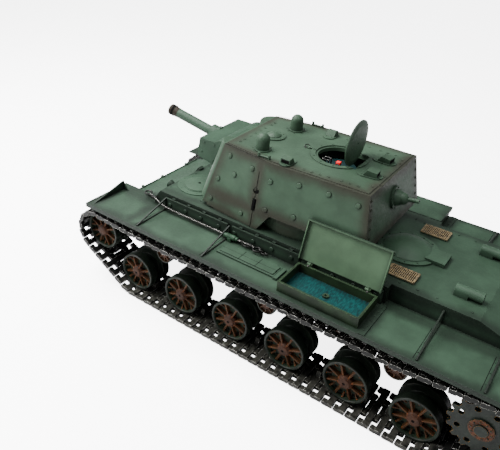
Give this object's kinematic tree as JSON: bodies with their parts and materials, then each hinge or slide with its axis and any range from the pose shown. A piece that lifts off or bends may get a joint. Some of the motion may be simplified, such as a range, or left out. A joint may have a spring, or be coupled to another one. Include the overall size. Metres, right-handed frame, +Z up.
{
  "type": "remote control tank",
  "caption": "Remote control model of a heavy tracked tank with turning turret, tipping gun, sprung road wheels, opening hatch and fender stowage boxes.",
  "frame": {"origin": "on the ground under the middle of the road wheels, on the centre plane", "axes": "+X to the bow, +Y to the left side, +Z up"},
  "size_m": [0.4109, 0.2074, 0.1935],
  "materials": {
    "green_paint": "matt grey-green military paint, sprayed darker along edges",
    "wheel_paint": "dark green paint with rust-coloured spokes and worn rims",
    "track_metal": "blackened cast links with rubbed bright edges",
    "arm_rust": "mud and rust brown",
    "dark_steel": "twisted steel rope and dark fittings",
    "hull_plastic": "moulded hull tub, dark green",
    "box_lining": "green box with a teal inside",
    "screen_mesh": "brown ribbed screens and green hatches",
    "motor_steel": "plain motor cans and gearboxes",
    "battery_wrap": "shrink wrap",
    "circuit_board": "circuit board with parts",
    "black_plastic": "moulded black plastic",
    "white_nylon": "moulded nylon gear"
  },
  "bodies": {
    "hull": {"lower_hull": "hull_plastic", "upper_hull": "green_paint", "fender_brackets": "green_paint", "track_left": "track_metal", "track_right": "track_metal", "axle_pins": "arm_rust", "drive_units": "motor_steel", "battery_pack": "battery_wrap", "control_board": "circuit_board", "sound_and_smoke_units": "black_plastic", "turret_motor": "motor_steel", "stowage_boxes": "box_lining", "tow_cables": "dark_steel", "deck_fittings": "screen_mesh"},
    "turret": {"turret_base": "black_plastic", "turret_shell": "green_paint", "turret_fittings": "green_paint", "turret_electronics": "black_plastic", "rear_machine_gun": "green_paint"},
    "turning_pinion": {"turret_pinion": "white_nylon"},
    "gun": {"gun_mantlet": "green_paint", "gun_barrel": "green_paint"},
    "commander_hatch": {"commander_hatch": "green_paint"},
    "stowage_lid_left": {"stowage_lid_left": "green_paint"},
    "stowage_lid_right": {"stowage_lid_right": "green_paint"},
    "sprocket_left": {"sprocket_left": "wheel_paint"},
    "idler_left": {"idler_left": "wheel_paint"},
    "return_roller_left_1": {"return_roller_left_1": "wheel_paint"},
    "return_roller_left_2": {"return_roller_left_2": "wheel_paint"},
    "return_roller_left_3": {"return_roller_left_3": "wheel_paint"},
    "swing_arm_left_1": {"swing_arm_left_1": "arm_rust"},
    "road_wheel_left_1": {"road_wheel_left_1": "wheel_paint"},
    "swing_arm_left_2": {"swing_arm_left_2": "arm_rust"},
    "road_wheel_left_2": {"road_wheel_left_2": "wheel_paint"},
    "swing_arm_left_3": {"swing_arm_left_3": "arm_rust"},
    "road_wheel_left_3": {"road_wheel_left_3": "wheel_paint"},
    "swing_arm_left_4": {"swing_arm_left_4": "arm_rust"},
    "road_wheel_left_4": {"road_wheel_left_4": "wheel_paint"},
    "swing_arm_left_5": {"swing_arm_left_5": "arm_rust"},
    "road_wheel_left_5": {"road_wheel_left_5": "wheel_paint"},
    "swing_arm_left_6": {"swing_arm_left_6": "arm_rust"},
    "road_wheel_left_6": {"road_wheel_left_6": "wheel_paint"},
    "sprocket_right": {"sprocket_right": "wheel_paint"},
    "idler_right": {"idler_right": "wheel_paint"},
    "return_roller_right_1": {"return_roller_right_1": "wheel_paint"},
    "return_roller_right_2": {"return_roller_right_2": "wheel_paint"},
    "return_roller_right_3": {"return_roller_right_3": "wheel_paint"},
    "swing_arm_right_1": {"swing_arm_right_1": "arm_rust"},
    "road_wheel_right_1": {"road_wheel_right_1": "wheel_paint"},
    "swing_arm_right_2": {"swing_arm_right_2": "arm_rust"},
    "road_wheel_right_2": {"road_wheel_right_2": "wheel_paint"},
    "swing_arm_right_3": {"swing_arm_right_3": "arm_rust"},
    "road_wheel_right_3": {"road_wheel_right_3": "wheel_paint"},
    "swing_arm_right_4": {"swing_arm_right_4": "arm_rust"},
    "road_wheel_right_4": {"road_wheel_right_4": "wheel_paint"},
    "swing_arm_right_5": {"swing_arm_right_5": "arm_rust"},
    "road_wheel_right_5": {"road_wheel_right_5": "wheel_paint"},
    "swing_arm_right_6": {"swing_arm_right_6": "arm_rust"},
    "road_wheel_right_6": {"road_wheel_right_6": "wheel_paint"},
    "power_switch": {"power_switch": "black_plastic"}
  },
  "joints": [
    {"name": "turret_yaw", "type": "hinge", "parent": "hull", "child": "turret", "pos_m": [0.00925, 0, 0.0985], "axis": [0, 0, 1], "range_deg": [-0.5, 48]},
    {"name": "pinion_spin", "type": "hinge", "parent": "hull", "child": "turning_pinion", "pos_m": [0.06025, 0, 0.0885], "axis": [0, 0, 1], "range_deg": [-230, 10]},
    {"name": "gun_elevation", "type": "hinge", "parent": "turret", "child": "gun", "pos_m": [0.088, 0, 0.1364], "axis": [0, -1, 0], "range_deg": [-15, 14]},
    {"name": "hatch_hinge", "type": "hinge", "parent": "turret", "child": "commander_hatch", "pos_m": [-0.022, 0, 0.1606], "axis": [0, 1, 0], "range_deg": [0, 92]},
    {"name": "lid_hinge_left", "type": "hinge", "parent": "hull", "child": "stowage_lid_left", "pos_m": [-0.0505, 0.0656, 0.093], "axis": [1, 0, 0], "range_deg": [-107, 0]},
    {"name": "lid_hinge_right", "type": "hinge", "parent": "hull", "child": "stowage_lid_right", "pos_m": [-0.0505, -0.0656, 0.093], "axis": [1, 0, 0], "range_deg": [-107, 0]},
    {"name": "sprocket_spin_left", "type": "hinge", "parent": "hull", "child": "sprocket_left", "pos_m": [-0.17769, 0.08188, 0.05], "axis": [0, 1, 0], "continuous": true},
    {"name": "idler_spin_left", "type": "hinge", "parent": "hull", "child": "idler_left", "pos_m": [0.18125, 0.08188, 0.052], "axis": [0, 1, 0], "continuous": true},
    {"name": "roller_spin_left_1", "type": "hinge", "parent": "hull", "child": "return_roller_left_1", "pos_m": [0.103, 0.08188, 0.0585], "axis": [0, 1, 0], "continuous": true},
    {"name": "roller_spin_left_2", "type": "hinge", "parent": "hull", "child": "return_roller_left_2", "pos_m": [-0.006, 0.08188, 0.0585], "axis": [0, 1, 0], "continuous": true},
    {"name": "roller_spin_left_3", "type": "hinge", "parent": "hull", "child": "return_roller_left_3", "pos_m": [-0.115, 0.08188, 0.0585], "axis": [0, 1, 0], "continuous": true},
    {"name": "arm_swing_left_1", "type": "hinge", "parent": "hull", "child": "swing_arm_left_1", "pos_m": [0.16625, 0.0542, 0.03365], "axis": [0, 1, 0], "range_deg": [0, 12], "stiffness_Nm_per_rad": 0.6, "springref_deg": -11.46},
    {"name": "wheel_spin_left_1", "type": "hinge", "parent": "swing_arm_left_1", "child": "road_wheel_left_1", "pos_m": [0.13625, 0.08188, 0.02365], "axis": [0, 1, 0], "continuous": true},
    {"name": "arm_swing_left_2", "type": "hinge", "parent": "hull", "child": "swing_arm_left_2", "pos_m": [0.11175, 0.0542, 0.03365], "axis": [0, 1, 0], "range_deg": [0, 12], "stiffness_Nm_per_rad": 0.6, "springref_deg": -11.46},
    {"name": "wheel_spin_left_2", "type": "hinge", "parent": "swing_arm_left_2", "child": "road_wheel_left_2", "pos_m": [0.08175, 0.08188, 0.02365], "axis": [0, 1, 0], "continuous": true},
    {"name": "arm_swing_left_3", "type": "hinge", "parent": "hull", "child": "swing_arm_left_3", "pos_m": [0.05725, 0.0542, 0.03365], "axis": [0, 1, 0], "range_deg": [0, 12], "stiffness_Nm_per_rad": 0.6, "springref_deg": -11.46},
    {"name": "wheel_spin_left_3", "type": "hinge", "parent": "swing_arm_left_3", "child": "road_wheel_left_3", "pos_m": [0.02725, 0.08188, 0.02365], "axis": [0, 1, 0], "continuous": true},
    {"name": "arm_swing_left_4", "type": "hinge", "parent": "hull", "child": "swing_arm_left_4", "pos_m": [0.00275, 0.0542, 0.03365], "axis": [0, 1, 0], "range_deg": [0, 12], "stiffness_Nm_per_rad": 0.6, "springref_deg": -11.46},
    {"name": "wheel_spin_left_4", "type": "hinge", "parent": "swing_arm_left_4", "child": "road_wheel_left_4", "pos_m": [-0.02725, 0.08188, 0.02365], "axis": [0, 1, 0], "continuous": true},
    {"name": "arm_swing_left_5", "type": "hinge", "parent": "hull", "child": "swing_arm_left_5", "pos_m": [-0.05175, 0.0542, 0.03365], "axis": [0, 1, 0], "range_deg": [0, 12], "stiffness_Nm_per_rad": 0.6, "springref_deg": -11.46},
    {"name": "wheel_spin_left_5", "type": "hinge", "parent": "swing_arm_left_5", "child": "road_wheel_left_5", "pos_m": [-0.08175, 0.08188, 0.02365], "axis": [0, 1, 0], "continuous": true},
    {"name": "arm_swing_left_6", "type": "hinge", "parent": "hull", "child": "swing_arm_left_6", "pos_m": [-0.10625, 0.0542, 0.03365], "axis": [0, 1, 0], "range_deg": [0, 12], "stiffness_Nm_per_rad": 0.6, "springref_deg": -11.46},
    {"name": "wheel_spin_left_6", "type": "hinge", "parent": "swing_arm_left_6", "child": "road_wheel_left_6", "pos_m": [-0.13625, 0.08188, 0.02365], "axis": [0, 1, 0], "continuous": true},
    {"name": "sprocket_spin_right", "type": "hinge", "parent": "hull", "child": "sprocket_right", "pos_m": [-0.17769, -0.08188, 0.05], "axis": [0, 1, 0], "continuous": true},
    {"name": "idler_spin_right", "type": "hinge", "parent": "hull", "child": "idler_right", "pos_m": [0.18125, -0.08188, 0.052], "axis": [0, 1, 0], "continuous": true},
    {"name": "roller_spin_right_1", "type": "hinge", "parent": "hull", "child": "return_roller_right_1", "pos_m": [0.103, -0.08188, 0.0585], "axis": [0, 1, 0], "continuous": true},
    {"name": "roller_spin_right_2", "type": "hinge", "parent": "hull", "child": "return_roller_right_2", "pos_m": [-0.006, -0.08188, 0.0585], "axis": [0, 1, 0], "continuous": true},
    {"name": "roller_spin_right_3", "type": "hinge", "parent": "hull", "child": "return_roller_right_3", "pos_m": [-0.115, -0.08188, 0.0585], "axis": [0, 1, 0], "continuous": true},
    {"name": "arm_swing_right_1", "type": "hinge", "parent": "hull", "child": "swing_arm_right_1", "pos_m": [0.16625, -0.0542, 0.03365], "axis": [0, 1, 0], "range_deg": [0, 12], "stiffness_Nm_per_rad": 0.6, "springref_deg": -11.46},
    {"name": "wheel_spin_right_1", "type": "hinge", "parent": "swing_arm_right_1", "child": "road_wheel_right_1", "pos_m": [0.13625, -0.08188, 0.02365], "axis": [0, 1, 0], "continuous": true},
    {"name": "arm_swing_right_2", "type": "hinge", "parent": "hull", "child": "swing_arm_right_2", "pos_m": [0.11175, -0.0542, 0.03365], "axis": [0, 1, 0], "range_deg": [0, 12], "stiffness_Nm_per_rad": 0.6, "springref_deg": -11.46},
    {"name": "wheel_spin_right_2", "type": "hinge", "parent": "swing_arm_right_2", "child": "road_wheel_right_2", "pos_m": [0.08175, -0.08188, 0.02365], "axis": [0, 1, 0], "continuous": true},
    {"name": "arm_swing_right_3", "type": "hinge", "parent": "hull", "child": "swing_arm_right_3", "pos_m": [0.05725, -0.0542, 0.03365], "axis": [0, 1, 0], "range_deg": [0, 12], "stiffness_Nm_per_rad": 0.6, "springref_deg": -11.46},
    {"name": "wheel_spin_right_3", "type": "hinge", "parent": "swing_arm_right_3", "child": "road_wheel_right_3", "pos_m": [0.02725, -0.08188, 0.02365], "axis": [0, 1, 0], "continuous": true},
    {"name": "arm_swing_right_4", "type": "hinge", "parent": "hull", "child": "swing_arm_right_4", "pos_m": [0.00275, -0.0542, 0.03365], "axis": [0, 1, 0], "range_deg": [0, 12], "stiffness_Nm_per_rad": 0.6, "springref_deg": -11.46},
    {"name": "wheel_spin_right_4", "type": "hinge", "parent": "swing_arm_right_4", "child": "road_wheel_right_4", "pos_m": [-0.02725, -0.08188, 0.02365], "axis": [0, 1, 0], "continuous": true},
    {"name": "arm_swing_right_5", "type": "hinge", "parent": "hull", "child": "swing_arm_right_5", "pos_m": [-0.05175, -0.0542, 0.03365], "axis": [0, 1, 0], "range_deg": [0, 12], "stiffness_Nm_per_rad": 0.6, "springref_deg": -11.46},
    {"name": "wheel_spin_right_5", "type": "hinge", "parent": "swing_arm_right_5", "child": "road_wheel_right_5", "pos_m": [-0.08175, -0.08188, 0.02365], "axis": [0, 1, 0], "continuous": true},
    {"name": "arm_swing_right_6", "type": "hinge", "parent": "hull", "child": "swing_arm_right_6", "pos_m": [-0.10625, -0.0542, 0.03365], "axis": [0, 1, 0], "range_deg": [0, 12], "stiffness_Nm_per_rad": 0.6, "springref_deg": -11.46},
    {"name": "wheel_spin_right_6", "type": "hinge", "parent": "swing_arm_right_6", "child": "road_wheel_right_6", "pos_m": [-0.13625, -0.08188, 0.02365], "axis": [0, 1, 0], "continuous": true},
    {"name": "switch_slide", "type": "slide", "parent": "hull", "child": "power_switch", "axis": [1, 0, 0], "range_m": [0, 0.004]}
  ],
  "couplings": [
    {"joint": "pinion_spin", "follows": "turret_yaw", "ratio": -4.6667},
    {"joint": "idler_spin_left", "follows": "sprocket_spin_left", "ratio": 1.1628},
    {"joint": "roller_spin_left_1", "follows": "sprocket_spin_left", "ratio": 2.1952},
    {"joint": "roller_spin_left_2", "follows": "sprocket_spin_left", "ratio": 2.1952},
    {"joint": "roller_spin_left_3", "follows": "sprocket_spin_left", "ratio": 2.1952},
    {"joint": "wheel_spin_left_1", "follows": "sprocket_spin_left", "ratio": 1.2097},
    {"joint": "wheel_spin_left_2", "follows": "sprocket_spin_left", "ratio": 1.2097},
    {"joint": "wheel_spin_left_3", "follows": "sprocket_spin_left", "ratio": 1.2097},
    {"joint": "wheel_spin_left_4", "follows": "sprocket_spin_left", "ratio": 1.2097},
    {"joint": "wheel_spin_left_5", "follows": "sprocket_spin_left", "ratio": 1.2097},
    {"joint": "wheel_spin_left_6", "follows": "sprocket_spin_left", "ratio": 1.2097},
    {"joint": "idler_spin_right", "follows": "sprocket_spin_right", "ratio": 1.1628},
    {"joint": "roller_spin_right_1", "follows": "sprocket_spin_right", "ratio": 2.1952},
    {"joint": "roller_spin_right_2", "follows": "sprocket_spin_right", "ratio": 2.1952},
    {"joint": "roller_spin_right_3", "follows": "sprocket_spin_right", "ratio": 2.1952},
    {"joint": "wheel_spin_right_1", "follows": "sprocket_spin_right", "ratio": 1.2097},
    {"joint": "wheel_spin_right_2", "follows": "sprocket_spin_right", "ratio": 1.2097},
    {"joint": "wheel_spin_right_3", "follows": "sprocket_spin_right", "ratio": 1.2097},
    {"joint": "wheel_spin_right_4", "follows": "sprocket_spin_right", "ratio": 1.2097},
    {"joint": "wheel_spin_right_5", "follows": "sprocket_spin_right", "ratio": 1.2097},
    {"joint": "wheel_spin_right_6", "follows": "sprocket_spin_right", "ratio": 1.2097}
  ]
}
